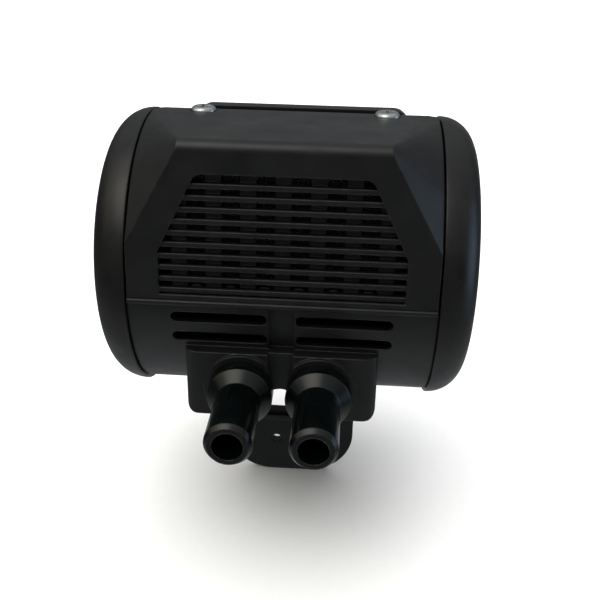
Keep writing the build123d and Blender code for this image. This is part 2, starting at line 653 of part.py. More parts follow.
def right_nipple():
    """Stepped tube: spigot with an O-ring groove, round boss, cone, plain tube with a bevelled tip."""
    boss_end = HUB_FRONT_Y - NIPPLE_BOSS
    outline = [
        (HUB_FRONT_Y + SPIGOT, NIPPLE_BORE_R),
        (HUB_FRONT_Y + SPIGOT, SPIGOT_R - 0.5),
        (HUB_FRONT_Y + SPIGOT - 0.5, SPIGOT_R),
        (O_RING_Y + O_RING + 0.2, SPIGOT_R),
        (O_RING_Y + O_RING + 0.2, SPIGOT_R + LOOSE - 2 * O_RING - 0.04),
        (O_RING_Y - O_RING - 0.2, SPIGOT_R + LOOSE - 2 * O_RING - 0.04),
        (O_RING_Y - O_RING - 0.2, SPIGOT_R),
        (HUB_FRONT_Y, SPIGOT_R),
        (HUB_FRONT_Y, NIPPLE_BOSS_R),
        (boss_end, NIPPLE_BOSS_R),
        (boss_end - NIPPLE_CHAMFER, NIPPLE_R),
        (NIPPLE_TIP_Y + NIPPLE_TIP_CHAMFER, NIPPLE_R),
        (NIPPLE_TIP_Y, NIPPLE_R - NIPPLE_TIP_CHAMFER * 0.7),
        (NIPPLE_TIP_Y, NIPPLE_BORE_R),
    ]
    profile = make_face(Polyline(*[(r, y) for y, r in outline], close=True))
    nipple = revolve(profile, Axis.Y)
    return Pos(NIPPLE_X, 0, NIPPLE_Z) * nipple


def nipple_o_rings():
    ring = Rot(90, 0, 0) * Torus(SPIGOT_R + LOOSE - O_RING - TOUCH, O_RING)
    return both_sides(Pos(NIPPLE_X, O_RING_Y, NIPPLE_Z) * ring)


def right_diaphragm():
    """Rubber disc: clamped bead, one thin rolling fold, thick hub."""
    fold_in = PLATE_R + 1.5
    fold_out = BEAD_IN_R - 0.6
    bead_mid = BEAD_X + BEAD_WIDTH / 2
    fold_x = bead_mid + 2.2
    fold_r = (fold_in + fold_out) / 2
    half = SKIN / 2
    edges = [
        Polyline((HUB_IN_X, PLATE_R), (HUB_IN_X, ROD_END_R + APART), (HUB_OUT_X, ROD_END_R + APART),
                 (HUB_OUT_X, PLATE_R), (HUB_X + half, fold_in)),
        ThreePointArc((HUB_X + half, fold_in), (fold_x + half, fold_r), (bead_mid + half, fold_out)),
        Polyline((bead_mid + half, fold_out), (BEAD_X + BEAD_WIDTH, BEAD_IN_R), (BEAD_X + BEAD_WIDTH, BEAD_R),
                 (BEAD_X, BEAD_R), (BEAD_X, BEAD_IN_R), (bead_mid - half, fold_out)),
        ThreePointArc((bead_mid - half, fold_out), (fold_x - half, fold_r), (HUB_X - half, fold_in)),
        Line((HUB_X - half, fold_in), (HUB_IN_X, PLATE_R)),
    ]
    return revolve(make_face(edges), Axis.X)


def valve_plate(z0, z1, grow=0.0):
    """Plate of the valve seat's outline between two heights, with its ports and screw holes."""
    plate = block(-SEAT_HALF, SEAT_HALF, SEAT_FRONT_Y, SEAT_BACK_Y, z0, z1)
    plate = fillet(plate.edges().filter_by(Axis.Z), 2.0)
    plate -= port_cuts(z0 - 1, z1 + 1, grow)
    for x, y in seat_screw_spots():
        plate -= rod_z(SMALL_SCREW_R + LOOSE, z0 - 1, z1 + 1, x, y)
    return plate


def valve_seat():
    return valve_plate(DECK_TOP_Z + GASKET, SEAT_TOP_Z)


def seat_gasket():
    return valve_plate(DECK_TOP_Z, DECK_TOP_Z + GASKET, grow=0.3)


def seat_screws():
    screws = Part()
    for x, y in seat_screw_spots():
        screws += pan_screw_z(x, y, SEAT_TOP_Z, SMALL_SCREW_R, 7.0, SMALL_SCREW_HEAD_R, SMALL_SCREW_HEAD_H)
    return screws


def right_rod_bush():
    bush = rod_x(BUSH_R, CUP_BACK_X - 0.1, CUP_FLOOR_X)
    bush += rod_x(BUSH_FLANGE_R, CUP_BACK_X - BUSH_FLANGE, CUP_BACK_X)
    bush -= rod_x(ROD_R + RUN, CUP_BACK_X - 2, CUP_FLOOR_X + 1)
    return bush - rod_x(SEAL_R, CUP_FLOOR_X - SEAL_WIDTH - TOUCH, CUP_FLOOR_X + 1)


def rod_seals():
    seal_x = CUP_FLOOR_X - SEAL_WIDTH
    ring = rod_x(SEAL_R - TOUCH, seal_x, CUP_FLOOR_X) - rod_x(ROD_R + RUN, seal_x - 1, CUP_FLOOR_X + 1)
    return both_sides(ring)


def rocker_bracket():
    """Angle bracket on the deck that carries the rocker's pin."""
    upright = block(-BRACKET_HALF, BRACKET_HALF, BRACKET_Y, BRACKET_Y + BRACKET, DECK_TOP_Z, BRACKET_TOP_Z)
    upright = chamfer(upright.edges().filter_by(Axis.Y).group_by(Axis.Z)[-1], 3.5)
    foot = block(-BRACKET_HALF, BRACKET_HALF, BRACKET_Y, BRACKET_FOOT_Y, DECK_TOP_Z, DECK_TOP_Z + BRACKET_FOOT)
    web = block(-1.2, 1.2, BRACKET_Y, BRACKET_FOOT_Y, DECK_TOP_Z, DECK_TOP_Z + 14)
    web = chamfer(web.edges().filter_by(Axis.X).group_by(Axis.Z)[-1].group_by(Axis.Y)[-1], 8.5)
    bracket = upright + foot + web
    bracket -= rod_y(ROCKER_PIN_R + TOUCH, BRACKET_Y - 1, BRACKET_Y + BRACKET + 1, 0, ROCKER_Z)
    for x in (-BRACKET_SCREW_X, BRACKET_SCREW_X):
        bracket -= rod_z(SMALL_SCREW_R + LOOSE, DECK_TOP_Z - 1, DECK_TOP_Z + 4, x, BRACKET_SCREW_Y)
    return bracket


def bracket_screws():
    screws = Part()
    for x in (-BRACKET_SCREW_X, BRACKET_SCREW_X):
        screws += pan_screw_z(
            x, BRACKET_SCREW_Y, DECK_TOP_Z + BRACKET_FOOT,
            SMALL_SCREW_R, BRACKET_FOOT + DECK, SMALL_SCREW_HEAD_R, SMALL_SCREW_HEAD_H,
        )
    return screws


def rocker_pin():
    pin = rod_y(ROCKER_PIN_R, ROCKER_FRONT_Y - 1.9, BRACKET_Y + BRACKET, 0, ROCKER_Z)
    groove = rod_y(ROCKER_PIN_R + 1, ROCKER_FRONT_Y - 1.0, ROCKER_FRONT_Y - APART, 0, ROCKER_Z)
    return pin - (groove - rod_y(ROCKER_PIN_R - 0.5, 0, 20, 0, ROCKER_Z))


def rocker_clip():
    """Open spring clip in the pin's groove."""
    y0 = ROCKER_FRONT_Y - 1.0 + TOUCH
    y1 = ROCKER_FRONT_Y - APART - TOUCH
    clip = rod_y(ROCKER_PIN_R + 1.4, y0, y1, 0, ROCKER_Z)
    clip -= rod_y(ROCKER_PIN_R - 0.5 + TOUCH, y0 - 1, y1 + 1, 0, ROCKER_Z)
    return clip - block(-1.1, 1.1, y0 - 1, y1 + 1, ROCKER_Z, ROCKER_Z + 6)


def inlet_seal():
    y0 = BACK_Y - INLET_SEAL
    ring = rod_y(INLET_SEAL_OUT_R - TOUCH, y0, BACK_Y - TOUCH, 0, INLET_Z)
    return ring - rod_y(INLET_SEAL_IN_R + TOUCH, y0 - 1, BACK_Y + 1, 0, INLET_Z)


def hanger_lug():
    """Hanging plate with a wide eye, a ridge below it, two small holes and a flange on top."""
    low = LUG_BOTTOM_Z
    outline = Polyline(
        (-LUG_HALF, PAD_Z), (-LUG_HALF, low), (LUG_HALF, low), (LUG_HALF, PAD_Z), close=True
    )
    face = make_face(outline)
    face = fillet(face.vertices().group_by(Axis.Y)[0], LUG_CORNER_R)
    window = make_face(Polyline(
        (-LUG_WINDOW_HALF, PAD_Z - LUG_FLANGE), (-LUG_WINDOW_HALF, LUG_WINDOW_BOTTOM_Z),
        (LUG_WINDOW_HALF, LUG_WINDOW_BOTTOM_Z), (LUG_WINDOW_HALF, PAD_Z - LUG_FLANGE), close=True,
    ))
    window = fillet(window.vertices().group_by(Axis.Y)[0], LUG_WINDOW_CORNER_R)
    for x in (-LUG_HOLE_X, LUG_HOLE_X):
        window += Pos(x, LUG_HOLE_Z) * Circle(LUG_HOLE_R)
    lug = plate_xz(face - window, 0, LUG)
    lug += block(-LUG_HALF, LUG_HALF, 0, PAD_BACK_Y - 0.5, PAD_Z - LUG_FLANGE, PAD_Z)
    ridge = block(-LUG_HALF + 2.5, LUG_HALF - 2.5, -LUG_RIDGE, 0.1, LUG_RIDGE_Z - 0.8, LUG_RIDGE_Z + 0.8)
    lug += ridge
    for x in (-LUG_SCREW_X, LUG_SCREW_X):
        lug -= rod_z(LUG_SCREW_R + LOOSE, PAD_Z - 5, PAD_Z + 1, x, LUG_SCREW_Y)
    return lug


def hanger_screws():
    screws = Part()
    for x in (-LUG_SCREW_X, LUG_SCREW_X):
        screws += pan_screw_z(
            x, LUG_SCREW_Y, PAD_Z - LUG_FLANGE,
            LUG_SCREW_R, LUG_FLANGE + 6, LUG_SCREW_HEAD_R, LUG_SCREW_HEAD_H, up=-1,
        )
    return screws


def throttle_bush():
    bush = rod_z(THROTTLE_BUSH_R, THROTTLE_FACE_Z - 0.1, BUSH_TOP_Z - 0.1, THROTTLE_X, THROTTLE_Y)
    bush += rod_z(THROTTLE_FLANGE_R, THROTTLE_FACE_Z - THROTTLE_FLANGE, THROTTLE_FACE_Z, THROTTLE_X, THROTTLE_Y)
    return bush - rod_z(NEEDLE_R + RUN, -60, 0, THROTTLE_X, THROTTLE_Y)


def throttle_o_ring():
    z0 = THROTTLE_FACE_Z + TOUCH
    z1 = THROTTLE_FACE_Z + 0.6 - TOUCH
    ring = rod_z(THROTTLE_FLANGE_R - TOUCH, z0, z1, THROTTLE_X, THROTTLE_Y)
    return ring - rod_z(THROTTLE_BUSH_R + TOUCH, z0 - 1, z1 + 1, THROTTLE_X, THROTTLE_Y)


# ---- spindle body ----
def spindle_rod():
    shoulder = HUB_IN_X - TOUCH - PLATE_WIDTH
    rod = rod_x(ROD_END_R, -ROD_HALF, ROD_HALF)
    rod = chamfer(rod.edges(), 0.4)
    return rod + rod_x(ROD_R, -shoulder, shoulder)


def right_plate(x0):
    plate = rod_x(PLATE_R, x0, x0 + PLATE_WIDTH)
    plate = fillet(plate.edges(), 0.4)
    return plate - rod_x(ROD_END_R + TOUCH, x0 - 1, x0 + 5)


def right_inner_plate():
    return right_plate(HUB_IN_X - TOUCH - PLATE_WIDTH)


def right_outer_plate():
    return right_plate(HUB_OUT_X + TOUCH)


def right_nut():
    hexagon = RegularPolygon(NUT_FLATS / 2, 6, major_radius=False)
    blank = Plane(origin=(NUT_X, 0, 0), x_dir=(0, 1, 0), z_dir=(1, 0, 0)) * hexagon
    return extrude(blank, NUT_WIDTH) - rod_x(ROD_END_R + TOUCH, NUT_X - 1, ROD_HALF)


def drive_block():
    body = block(-BLOCK_HALF, BLOCK_HALF, -BLOCK_HALF, BLOCK_HALF, BLOCK_BOTTOM_Z, BLOCK_TOP_Z)
    body = chamfer(body.edges().filter_by(Axis.X), 1.0)
    body -= rod_x(ROD_R + TOUCH, -20, 20)
    pin_hole = rod_y(DRIVE_PIN_R + TOUCH, ROD_R + 0.5, 20)
    return body - pin_hole


def drive_pin():
    return rod_y(DRIVE_PIN_R, ROD_R + 0.5, ROCKER_BACK_Y + 0.8)


def main_slide():
    """Hollow D-slide that joins the middle port to one outer port."""
    z0 = SEAT_TOP_Z + 0.03
    slide = block(-SLIDE_HALF, SLIDE_HALF, SLIDE_FRONT_Y, SLIDE_BACK_Y, z0, z0 + SLIDE_HEIGHT)
    slide = fillet(slide.edges().filter_by(Axis.Z), 1.2)
    hollow = block(-PORT_X + 1.2, PORT_X - 1.2, PORT_FRONT_Y, PORT_BACK_Y, z0 - 1, z0 + SLIDE_HEIGHT - 1.2)
    return slide - hollow


def slide_spring():
    """Bowed leaf that presses the slide on its seat."""
    low = SEAT_TOP_Z + 0.03 + SLIDE_HEIGHT + TOUCH
    high = BLOCK_BOTTOM_Z - TOUCH
    ends = 7.0
    edges = [
        ThreePointArc((-ends, low), (0, high - LEAF), (ends, low)),
        Line((ends, low), (ends, low + LEAF)),
        ThreePointArc((ends, low + LEAF), (0, high), (-ends, low + LEAF)),
        Line((-ends, low + LEAF), (-ends, low)),
    ]
    return plate_xz(make_face(edges), -2.2, 2.2)


# ---- rocker, pilot slide and rate adjuster ----
def rocker_lever():
    """Lever hung on its pin, with an oblong hole for the drive pin and a round tip below."""
    neck = ROCKER_WIDTH / 2
    outline = Pos(0, ROCKER_Z) * Circle(ROCKER_HUB_R) + Pos(0, 0) * Circle(neck)
    outline += Pos(0, ROCKER_Z / 2) * Rectangle(ROCKER_WIDTH * 0.8, ROCKER_Z)
    outline += Pos(0, (ROCKER_TIP_Z - 2) / 2) * Rectangle(2 * ROCKER_TIP_R, -ROCKER_TIP_Z + 2)
    outline += Pos(0, ROCKER_TIP_Z) * Circle(ROCKER_TIP_R)
    outline -= Pos(0, ROCKER_TIP_Z - 3) * Rectangle(6, 2 * 3 - 2 * ROCKER_TIP_R)
    outline -= Pos(0, ROCKER_Z) * Circle(ROCKER_PIN_R + RUN)
    gap = DRIVE_PIN_R + 0.12
    outline -= Pos(0, 0) * Circle(gap)
    outline -= Pos(0, -0.5) * Rectangle(2 * gap, 1.0)
    outline -= Pos(0, -1.0) * Circle(gap)
    return plate_xz(outline, ROCKER_FRONT_Y, ROCKER_BACK_Y)


def pilot_slide():
    z0 = SEAT_TOP_Z + 0.03
    slide = block(-PILOT_HALF, PILOT_HALF, PILOT_FRONT_Y, PILOT_BACK_Y, z0, z0 + PILOT_HEIGHT)
    notch = ROCKER_TIP_R + 0.3
    slide -= block(-notch, notch, PILOT_FRONT_Y - 1, PILOT_BACK_Y + 1, ROCKER_TIP_Z - ROCKER_TIP_R - APART, 0)
    return slide - rod_z(PILOT_PORT_R, z0 - 1, z0 + 0.8, 0, (PILOT_FRONT_Y + PILOT_BACK_Y) / 2)


def rate_screw():
    """Slotted brass knob that drives the needle."""
    top = THROTTLE_FACE_Z - THROTTLE_FLANGE - APART
    knob = rod_z(RATE_HEAD_R, top - RATE_HEAD, top, THROTTLE_X, THROTTLE_Y)
    knob = chamfer(knob.edges().group_by(Axis.Z)[0], 0.6)
    knob -= rod_z(NEEDLE_R + RUN, NEEDLE_TAIL_Z - 0.3, top + 1, THROTTLE_X, THROTTLE_Y)
    slot_half = RATE_SLOT / 2
    low = top - RATE_HEAD
    return knob - block(
        THROTTLE_X - slot_half, THROTTLE_X + slot_half, THROTTLE_Y - 10, THROTTLE_Y + 10, low - 1, low + RATE_SLOT
    )


def throttle_needle():
    shaft_top = NEEDLE_TIP_Z - NEEDLE_TIP
    shaft = rod_z(NEEDLE_R, NEEDLE_TAIL_Z, shaft_top, THROTTLE_X, THROTTLE_Y)
    tip = Pos(THROTTLE_X, THROTTLE_Y, shaft_top + NEEDLE_TIP / 2) * Cone(NEEDLE_R, 0.5, NEEDLE_TIP)
    return shaft + tip


SINGLE = [
    main_body, filter_cover, foam_filter, cover_screws, nipple_o_rings, valve_seat, seat_gasket,
    seat_screws, rod_seals, rocker_bracket, bracket_screws, rocker_pin, rocker_clip, inlet_seal,
    hanger_lug, hanger_screws, throttle_bush, throttle_o_ring, spindle_rod, drive_block, drive_pin,
    main_slide, slide_spring, rocker_lever, pilot_slide, rate_screw, throttle_needle,
]
PAIRED = [
    right_end_cap, right_nipple, right_diaphragm, right_rod_bush,
    right_inner_plate, right_outer_plate, right_nut,
]


def write(name, solid):
    """Move a piece to the back-face origin and write it."""
    export_step(Pos(0, -BACK_Y, 0) * solid, f"parts/{name}.step")


os.makedirs("parts", exist_ok=True)
for make in SINGLE:
    write(make.__name__, make())
for make in PAIRED:
    right = make()
    write(make.__name__, right)
    write(make.__name__.replace("right", "left"), mirror(right, Plane.YZ))
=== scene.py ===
"""Looks of a pneumatic milking pulsator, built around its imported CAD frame. Lengths are in metres."""

import json

import bmesh
import bpy
import numpy as np
from mathutils import Matrix, Vector


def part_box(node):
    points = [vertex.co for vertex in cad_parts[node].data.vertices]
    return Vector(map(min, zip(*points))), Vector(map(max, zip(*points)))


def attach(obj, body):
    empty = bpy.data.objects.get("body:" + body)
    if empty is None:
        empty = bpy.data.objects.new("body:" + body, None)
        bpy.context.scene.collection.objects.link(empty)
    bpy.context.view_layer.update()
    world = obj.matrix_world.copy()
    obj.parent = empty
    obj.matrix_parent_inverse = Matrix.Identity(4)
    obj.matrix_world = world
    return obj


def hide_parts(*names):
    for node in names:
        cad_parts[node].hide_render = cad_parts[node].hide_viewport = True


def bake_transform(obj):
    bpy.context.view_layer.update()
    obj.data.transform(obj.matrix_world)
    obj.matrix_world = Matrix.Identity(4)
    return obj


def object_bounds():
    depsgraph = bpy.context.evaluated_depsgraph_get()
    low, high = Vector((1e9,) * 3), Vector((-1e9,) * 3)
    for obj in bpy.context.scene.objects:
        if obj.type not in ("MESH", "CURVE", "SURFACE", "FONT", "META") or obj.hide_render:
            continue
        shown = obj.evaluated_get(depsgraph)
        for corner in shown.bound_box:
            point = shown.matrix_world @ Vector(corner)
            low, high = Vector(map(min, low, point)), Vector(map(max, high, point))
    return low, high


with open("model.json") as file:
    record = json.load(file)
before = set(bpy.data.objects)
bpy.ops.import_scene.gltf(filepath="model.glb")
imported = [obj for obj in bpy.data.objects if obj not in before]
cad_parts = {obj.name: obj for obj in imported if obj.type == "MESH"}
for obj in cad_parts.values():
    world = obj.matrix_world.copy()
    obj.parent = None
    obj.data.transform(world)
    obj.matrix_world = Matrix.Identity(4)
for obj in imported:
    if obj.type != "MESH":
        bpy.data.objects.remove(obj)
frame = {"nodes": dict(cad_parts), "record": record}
cad_box = [list(corner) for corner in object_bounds()]

MM = 0.001

# filter foam
FOAM_THICKNESS = 4.9 * MM
FOAM_KNEE = 0.62          # the slab keeps its full width up to this share of its height
FOAM_EDGE = 1.2 * MM      # rounding of the slab's cut edges
FOAM_SQUARENESS = 14      # exponent of the slab's rounded oblong section
FOAM_AROUND = 420         # points round a section
FOAM_ROWS = 130           # sections between the rounded ends
FOAM_END_ROWS = 7         # sections in each rounded end
FOAM_SLICE = 0.2 * MM     # the CAD slab's corners this near an end belong to it
CELL = 1.15 * MM          # open cells, drawn about twice as coarse as the real ones so that they show
CELL_DEPTH = 0.42 * MM
PIT_REACH = 0.62          # a pit's radius in cells
PIT_SEED = 3.0
SCATTER = np.array([[12.9898, 39.346, 73.156], [78.233, 11.135, 52.235], [37.719, 83.155, 9.151]])
SCATTER_GAIN = 43758.5453

# rolling diaphragms
HUB_WIDTH = 1.5 * MM
HUB_HOLE = 2.8 * MM
PLATE_RADIUS = 15.0 * MM
BEAD_WIDTH = 1.5 * MM
BEAD_INNER = 24.2 * MM
SKIN = 0.8 * MM
FOLD_RISE = 2.2 * MM
BEAD_RIB = 0.12 * MM      # sealing ribs moulded on the bead's faces
BEAD_RIBS = 4
FOLD_FROM_PLATE = 1.5 * MM
FOLD_FROM_BEAD = 0.6 * MM
FOLD_STEPS = 40
TURN_STEPS = 180
WELD = 0.002 * MM         # points nearer than this are one


# ---------------------------------------------------------------- meshes

def mesh_piece(name, points, faces, material):
    """A new smooth mesh object at the origin, from an array of points and a list of faces."""
    mesh = bpy.data.meshes.new(name)
    mesh.from_pydata(points.reshape(-1, 3).tolist(), [], faces)
    mesh.polygons.foreach_set("use_smooth", np.ones(len(mesh.polygons), bool))
    mesh.materials.append(material)
    piece = bpy.data.objects.new(name, mesh)
    bpy.context.scene.collection.objects.link(piece)
    return piece


def grid_faces(rows, columns, closed_rows=False, closed_columns=False):
    """Quads of a rows x columns grid of points; a closed direction joins its last line to its first."""
    i = np.arange(rows if closed_rows else rows - 1)
    j = np.arange(columns if closed_columns else columns - 1)
    i, j = np.meshgrid(i, j, indexing="ij")
    down, right = (i + 1) % rows, (j + 1) % columns
    corners = [i * columns + j, i * columns + right, down * columns + right, down * columns + j]
    return np.stack(corners, -1).reshape(-1, 4).tolist()


def face_outwards(piece):
    """Merges doubled points and turns every face of a closed shell outwards."""
    work = bmesh.new()
    work.from_mesh(piece.data)
    bmesh.ops.remove_doubles(work, verts=work.verts, dist=WELD)
    bmesh.ops.recalc_face_normals(work, faces=work.faces)
    work.to_mesh(piece.data)
    work.free()


def random_pits(points, cell, seed):
    """Share 0..1 of a pit's depth at each point: one pit per cube of a lattice, at a random place in it.

    The share is (1 - distance to the nearest pit / reach) squared, and 0 outside."""
    lattice = np.floor(points / cell)
    nearest = np.full(points.shape[:-1], 9.0)
    for shift in np.ndindex(3, 3, 3):
        cube = lattice + np.array(shift) - 1
        jitter = np.abs(np.sin(cube @ SCATTER + seed) * SCATTER_GAIN) % 1.0
        distance = np.linalg.norm(points / cell - cube - jitter, axis=-1)
        nearest = np.minimum(nearest, distance)
    return np.clip(1 - nearest / PIT_REACH, 0, 1) ** 2


def foam_slab(material):
    """Open-cell foam slab leaning against the grille.

    Its section at height v is a rounded oblong, |x/a|^n + |t/b|^n = 1 with n = 14, carried up the
    slope of the cover's front. The half width a is constant up to the knee and then narrows in a
    straight line. The top and bottom close by shrinking the section in a quarter circle. Each point
    is then moved inwards by the depth of the nearest cell's pit."""
    low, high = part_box("foam_filter")
    solid = frame["nodes"]["foam_filter"].data
    corners = np.empty(len(solid.vertices) * 3)
    solid.vertices.foreach_get("co", corners)
    corners = corners.reshape(-1, 3)
    top = corners[corners[:, 2] > high.z - FOAM_SLICE]
    foot = corners[corners[:, 2] < low.z + FOAM_SLICE]
    top_half, full_half = np.abs(top[:, 0]).max(), high.x
    foot_y = (foot[:, 1].min() + foot[:, 1].max()) / 2
    top_y = (top[:, 1].min() + top[:, 1].max()) / 2

    around = np.linspace(0, 2 * np.pi, FOAM_AROUND, endpoint=False)
    closing = np.linspace(0, np.pi / 2, FOAM_END_ROWS)
    opening_rise, closing_rise = 1 - np.cos(closing[:-1]), 1 - np.sin(closing[1:])
    opening_shrink, closing_shrink = 1 - np.sin(closing[:-1]), 1 - np.cos(closing[1:])
    height = high.z - low.z
    inner = np.linspace(FOAM_EDGE, height - FOAM_EDGE, FOAM_ROWS)
    rise = np.concatenate([FOAM_EDGE * opening_rise, inner, height - FOAM_EDGE * closing_rise])
    shrink = np.concatenate([FOAM_EDGE * opening_shrink, np.zeros(FOAM_ROWS), FOAM_EDGE * closing_shrink])
    v = rise / height
    half = full_half + (top_half - full_half) * np.clip((v - FOAM_KNEE) / (1 - FOAM_KNEE), 0, 1)
    c, s = np.cos(around), np.sin(around)
    radius = (np.abs(c) ** FOAM_SQUARENESS + np.abs(s) ** FOAM_SQUARENESS) ** (-1 / FOAM_SQUARENESS)
    x = (half - shrink)[:, None] * (radius * c)[None, :]
    t = (FOAM_THICKNESS / 2 - shrink)[:, None] * (radius * s)[None, :]
    y = (foot_y + (top_y - foot_y) * v)[:, None] + t
    z = np.broadcast_to((low.z + rise)[:, None], x.shape)
    points = np.stack([x, y, z], -1)

    # the section's outward direction, the gradient of |x|^n + |t|^n
    steep = FOAM_SQUARENESS - 2
    outward = np.stack([c * np.abs(c) ** steep, s * np.abs(s) ** steep, 0 * c], -1)
    outward /= np.linalg.norm(outward, axis=-1, keepdims=True)
    points = points - outward[None] * (random_pits(points, CELL, PIT_SEED) * CELL_DEPTH)[..., None]

    # two centre points close the ends
    rows, columns = points.shape[:2]
    foot_lid = rows * columns
    top_lid, last = foot_lid + 1, (rows - 1) * columns
    faces = grid_faces(rows, columns, closed_columns=True)
    for a in range(columns):
        b = (a + 1) % columns
        faces += [[foot_lid, a, b], [top_lid, last + b, last + a]]
    everything = np.concatenate([points.reshape(-1, 3), [points[0].mean(0), points[-1].mean(0)]])
    piece = mesh_piece("foam_slab", everything, faces, material)
    face_outwards(piece)
    return piece


def arc(start, middle, end, count):
    """count points from start to end along a parabola that passes its middle at half way."""
    u = np.linspace(0, 1, count)[:, None]
    handle = 2 * np.array(middle) - (np.array(start) + np.array(end)) / 2
    return (1 - u) ** 2 * np.array(start) + 2 * u * (1 - u) * handle + u**2 * np.array(end)


def rolling_diaphragm(name, node, side, material):
    """Rubber disc: its outline of (x, r) points, hub, rolling fold and ribbed bead, turned about the X axis.

    Point (x, r) at turn a lies at (side * x, r sin a, r cos a). The bead's faces carry fine ribs,
    a raised cosine along r."""
    low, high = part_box(node)
    inner_x, outer_x = sorted(abs(v) for v in (low.x, high.x))
    rim = high.z
    hub_out = inner_x + HUB_WIDTH
    hub_x = inner_x + HUB_WIDTH / 2
    crest = outer_x - SKIN / 2
    bead_mid = crest - FOLD_RISE
    bead_in, bead_out = bead_mid - BEAD_WIDTH / 2, bead_mid + BEAD_WIDTH / 2
    fold_in, fold_out = PLATE_RADIUS + FOLD_FROM_PLATE, BEAD_INNER - FOLD_FROM_BEAD
    half, fold_r = SKIN / 2, (fold_in + fold_out) / 2
    band = np.linspace(BEAD_INNER, rim, FOLD_STEPS)
    wave = 2 * np.pi * BEAD_RIBS * (band - BEAD_INNER) / (rim - BEAD_INNER)
    rib = BEAD_RIB * (0.5 - 0.5 * np.cos(wave))
    outline = np.concatenate([
        [[inner_x, PLATE_RADIUS], [inner_x, HUB_HOLE], [hub_out, HUB_HOLE], [hub_out, PLATE_RADIUS]],
        arc((hub_x + half, fold_in), (crest + half, fold_r), (bead_mid + half, fold_out), FOLD_STEPS),
        np.stack([bead_out - BEAD_RIB + rib, band], -1),
        np.stack([bead_in + BEAD_RIB - rib, band], -1)[::-1],
        arc((bead_mid - half, fold_out), (crest - half, fold_r), (hub_x - half, fold_in), FOLD_STEPS),
    ])
    turn = np.linspace(0, 2 * np.pi, TURN_STEPS, endpoint=False)
    x = np.broadcast_to(side * outline[None, :, 0], (len(turn), len(outline)))
    y = np.sin(turn)[:, None] * outline[None, :, 1]
    z = np.cos(turn)[:, None] * outline[None, :, 1]
    centre_y = (low.y + high.y) / 2
    points = np.stack([x, y + centre_y, z], -1)
    faces = grid_faces(len(turn), len(outline), closed_rows=True, closed_columns=True)
    piece = mesh_piece(name, points, faces, material)
    face_outwards(piece)
    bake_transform(piece)
    return piece


# ---------------------------------------------------------------- materials

NOISE_BAND = {"From Min": 0.3, "From Max": 0.7}    # where nearly all of a noise's values lie
SHARE, FIRST, SECOND, MIXED = 0, 6, 7, 2           # a colour mix's sockets: three inputs and its output


def srgb(code):
    """Linear RGBA of a hex sRGB colour."""
    share = [int(code[k : k + 2], 16) / 255 for k in (1, 3, 5)]
    return [c / 12.92 if c <= 0.04045 else ((c + 0.055) / 1.055) ** 2.4 for c in share] + [1.0]


def add(tree, kind, output, inputs, **settings):
    """Adds a shader node and gives one output; an input that is a socket is linked, else it is a value."""
    node = tree.nodes.new("ShaderNode" + kind)
    for name, value in settings.items():
        setattr(node, name, value)
    for key, value in inputs.items():
        if isinstance(value, bpy.types.NodeSocket):
            tree.links.new(value, node.inputs[key])
        else:
            node.inputs[key].default_value = value
    return node.outputs[output]


def new_material(name):
    """An empty node material, its tree and its object coordinates."""
    material = bpy.data.materials.new(name)
    material.use_nodes = True
    tree = material.node_tree
    tree.nodes.clear()
    return material, tree, add(tree, "TexCoord", "Object", {})


def surface(tree, inputs):
    """Closes a material's tree with a principled shader that has those inputs."""
    end = tree.nodes.new("ShaderNodeOutputMaterial")
    tree.links.new(add(tree, "BsdfPrincipled", "BSDF", inputs), end.inputs["Surface"])


def worn_edges(tree, radius):
    """Normal rounded over sharp edges, and a mask that is 1 where an edge bends within radius metres."""
    soft = add(tree, "Bevel", "Normal", {"Radius": radius}, samples=6)
    flat = add(tree, "NewGeometry", "Normal", {})
    along = add(tree, "VectorMath", "Value", {0: soft, 1: flat}, operation="DOT_PRODUCT")
    bend = {"Value": along, "From Min": 0.985, "From Max": 0.80}
    return soft, add(tree, "MapRange", "Result", bend)


def moulded_plastic(name, colours, roughness, ior, grain, grain_depth, handled):
    """Injection-moulded plastic: spark-eroded tool grain, slow flow mottling, handled gloss and rubbed edges.

    The three colours are dark and pale flow marks and rubbed edges. Roughness is (low, high) over the
    handled patches, whose size is in metres."""
    dark, pale, edge = map(srgb, colours)
    material, tree, place = new_material(name)
    soft, edge_mask = worn_edges(tree, 0.5 * MM)
    flow_grain = {"Vector": place, "Scale": 1 / (7 * MM), "Detail": 4.0, "Roughness": 0.6}
    flow = add(tree, "TexNoise", "Fac", flow_grain)
    scuff_grain = {"Vector": place, "Scale": 1 / (1.3 * MM), "Detail": 5.0, "Roughness": 0.65}
    scuff = add(tree, "TexNoise", "Fac", scuff_grain)
    scuffed = add(tree, "MapRange", "Result", {"Value": scuff, "From Min": 0.42, "From Max": 0.62})
    rubbed = add(tree, "Math", "Value", {0: edge_mask, 1: scuffed}, operation="MULTIPLY")
    marks = add(tree, "MapRange", "Result", {"Value": flow} | NOISE_BAND)
    base = add(tree, "Mix", MIXED, {SHARE: marks, FIRST: dark, SECOND: pale}, data_type="RGBA")
    colour = add(tree, "Mix", MIXED, {SHARE: rubbed, FIRST: base, SECOND: edge}, data_type="RGBA")
    patches = add(tree, "TexNoise", "Fac", {"Vector": place, "Scale": 1 / handled, "Detail": 3.0})
    gloss_range = {"Value": patches, "To Min": roughness[0], "To Max": roughness[1]} | NOISE_BAND
    gloss = add(tree, "MapRange", "Result", gloss_range)
    tooth = add(tree, "TexNoise", "Fac", {"Vector": place, "Scale": 1 / grain})
    relief = add(tree, "Bump", "Normal", {"Height": tooth, "Distance": grain_depth, "Normal": soft})
    surface(tree, {"Base Color": colour, "Roughness": gloss, "IOR": ior, "Normal": relief})
    return material


